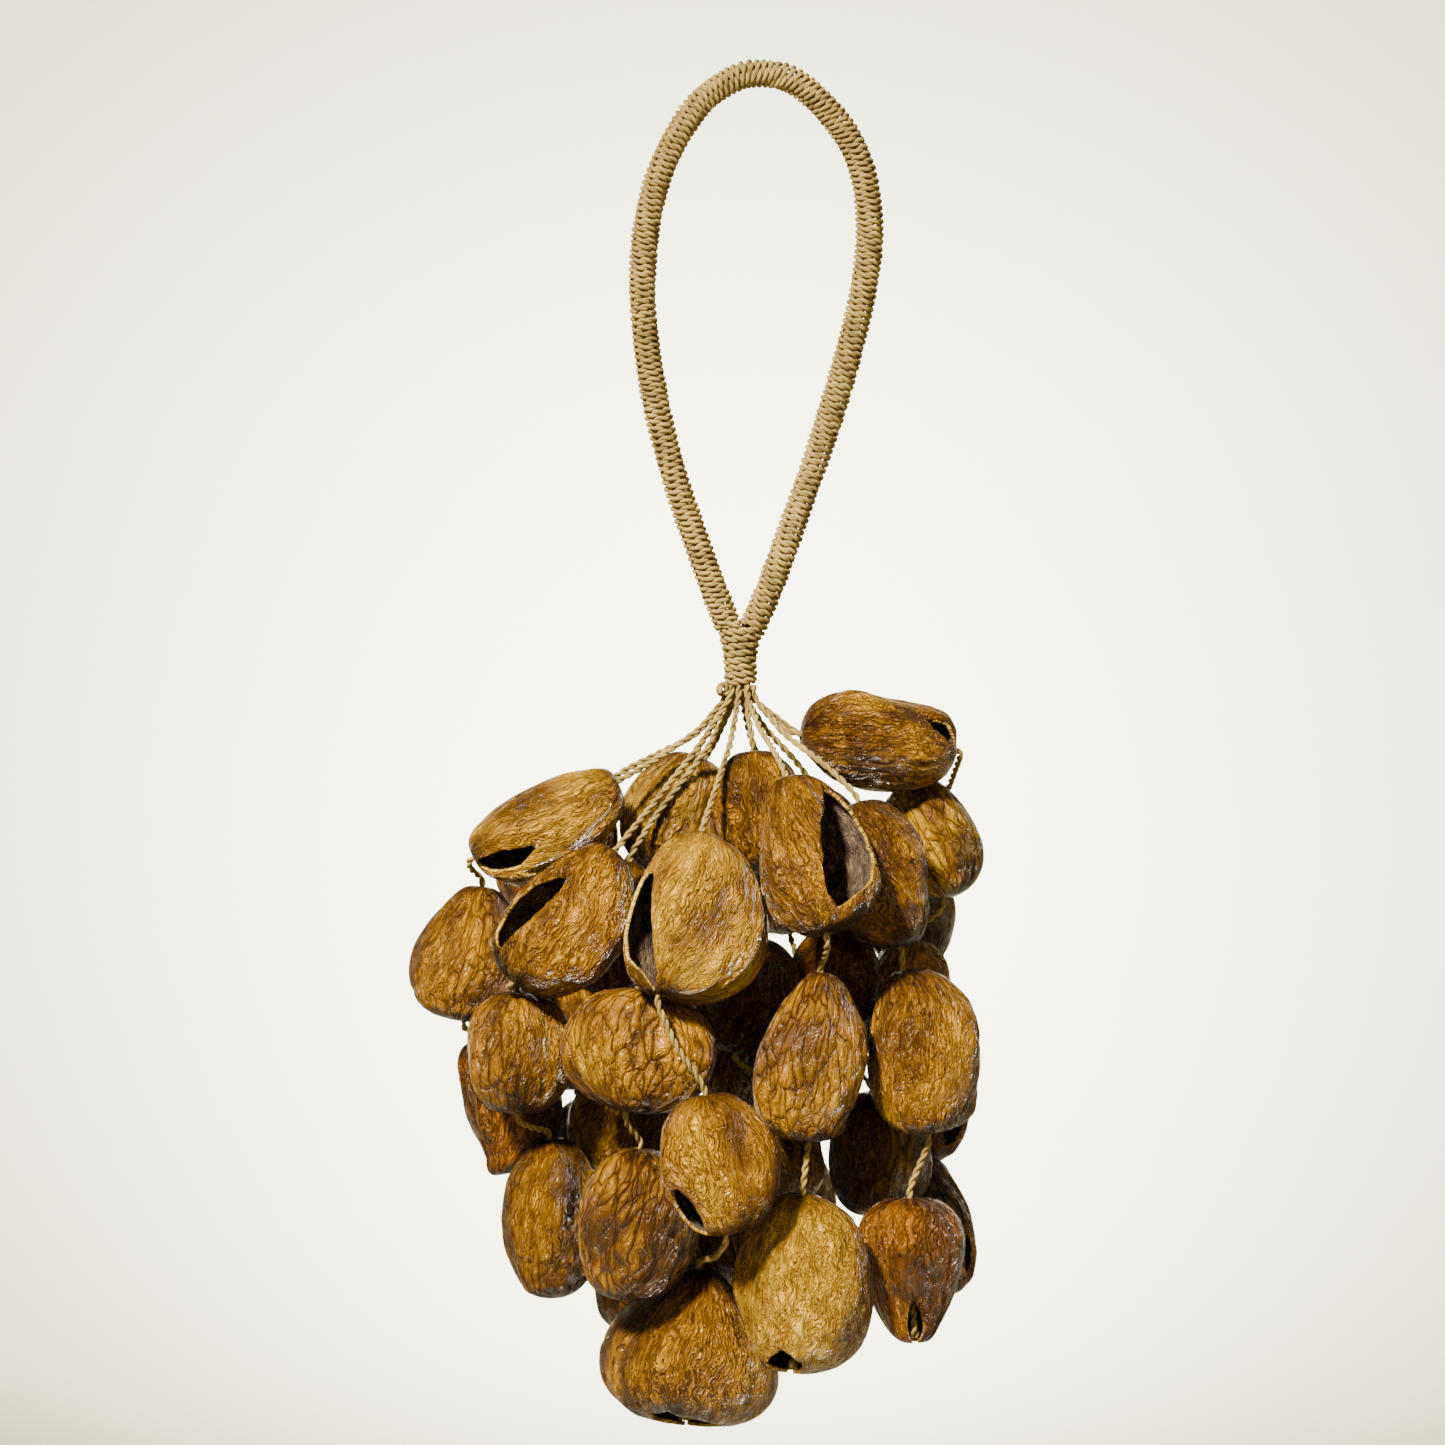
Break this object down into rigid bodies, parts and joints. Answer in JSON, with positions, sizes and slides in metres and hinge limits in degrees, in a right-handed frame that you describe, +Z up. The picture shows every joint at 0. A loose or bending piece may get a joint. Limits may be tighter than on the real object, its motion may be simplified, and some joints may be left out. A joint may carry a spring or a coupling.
{
  "type": "seed pod rattle",
  "caption": "Hand rattle: a dense bunch of hollow hard seed shells threaded and knotted on twines that hang from a bound collar and a tall twine-wrapped loop handle.",
  "frame": {"origin": "the hang point: the inside of the top of the loop handle, where a hook or finger carries it", "axes": "+Z up along the hanging direction, +X to the right seen from the front, +Y away from the front"},
  "size_m": [0.1788, 0.1193, 0.42],
  "materials": {
    "shell_golden": "golden brown seed shell with a worn natural gloss",
    "shell_pale": "pale tan seed shell, half glossy",
    "shell_red": "reddish brown seed shell, glossy",
    "shell_dark": "dark brown seed shell, half glossy",
    "twine": "straw coloured two-ply plant twine, matt and slightly hairy",
    "core": "bundle of plant twines inside the handle, matt"
  },
  "bodies": {
    "handle": {"handle_wrap": "twine", "handle_core": "core", "collar_wrap": "twine", "tie_off_knot": "twine", "twine_01": "twine", "shell_01_top": "shell_pale", "shell_01_middle": "shell_golden", "shell_01_bottom": "shell_golden", "twine_05": "twine", "shell_05_top": "shell_pale", "shell_05_middle": "shell_golden", "shell_05_bottom": "shell_red", "twine_09": "twine", "shell_09_top": "shell_golden", "shell_09_middle": "shell_golden", "shell_09_bottom": "shell_golden", "twine_11": "twine", "shell_11_top": "shell_golden", "shell_11_middle": "shell_dark", "shell_11_bottom": "shell_dark", "twine_12": "twine", "shell_12_top": "shell_dark", "shell_12_middle": "shell_red", "shell_12_bottom": "shell_dark", "twine_13": "twine", "shell_13_top": "shell_golden", "shell_13_middle": "shell_dark", "shell_13_bottom": "shell_red", "twine_14": "twine", "shell_14_top": "shell_pale", "shell_14_middle": "shell_dark", "shell_14_bottom": "shell_dark"},
    "strand_02": {"twine_02": "twine", "shell_02_top": "shell_golden", "shell_02_middle": "shell_golden", "shell_02_bottom": "shell_pale"},
    "strand_03": {"twine_03": "twine", "shell_03_top": "shell_golden", "shell_03_middle": "shell_golden", "shell_03_bottom": "shell_red"},
    "strand_04": {"twine_04": "twine", "shell_04_top": "shell_golden", "shell_04_middle": "shell_dark", "shell_04_bottom": "shell_red"},
    "strand_06": {"twine_06": "twine", "shell_06_top": "shell_golden", "shell_06_middle": "shell_pale", "shell_06_bottom": "shell_golden"},
    "strand_07": {"twine_07": "twine", "shell_07_top": "shell_red", "shell_07_middle": "shell_golden", "shell_07_bottom": "shell_dark"},
    "strand_08": {"twine_08": "twine", "shell_08_top": "shell_pale", "shell_08_middle": "shell_golden", "shell_08_bottom": "shell_red"},
    "strand_10": {"twine_10": "twine", "shell_10_top": "shell_golden", "shell_10_middle": "shell_golden", "shell_10_bottom": "shell_golden"}
  },
  "joints": [
    {"name": "strand_02_swing", "type": "hinge", "parent": "handle", "child": "strand_02", "pos_m": [-0.00143, -0.00446, -0.18674], "axis": [-0.8988, -0.4384, 0], "range_deg": [0, 30]},
    {"name": "strand_03_swing", "type": "hinge", "parent": "handle", "child": "strand_03", "pos_m": [0.00054, -0.00232, -0.18674], "axis": [-0.682, -0.7314, 0], "range_deg": [0, 30]},
    {"name": "strand_04_swing", "type": "hinge", "parent": "handle", "child": "strand_04", "pos_m": [0.00092, 0.00142, -0.18674], "axis": [0.4695, -0.8829, 0], "range_deg": [0, 30]},
    {"name": "strand_06_swing", "type": "hinge", "parent": "handle", "child": "strand_06", "pos_m": [-0.00337, 0.0051, -0.18674], "axis": [0.9659, -0.2588, 0], "range_deg": [0, 30]},
    {"name": "strand_07_swing", "type": "hinge", "parent": "handle", "child": "strand_07", "pos_m": [-0.00705, 0.00397, -0.18674], "axis": [0.4384, 0.8988, 0], "range_deg": [0, 30]},
    {"name": "strand_08_swing", "type": "hinge", "parent": "handle", "child": "strand_08", "pos_m": [-0.00902, -0.0007, -0.18674], "axis": [0.2079, 0.9781, 0], "range_deg": [0, 30]},
    {"name": "strand_10_swing", "type": "hinge", "parent": "handle", "child": "strand_10", "pos_m": [-0.00747, -0.0038, -0.18674], "axis": [-0.6691, 0.7431, 0], "range_deg": [0, 30]}
  ]
}
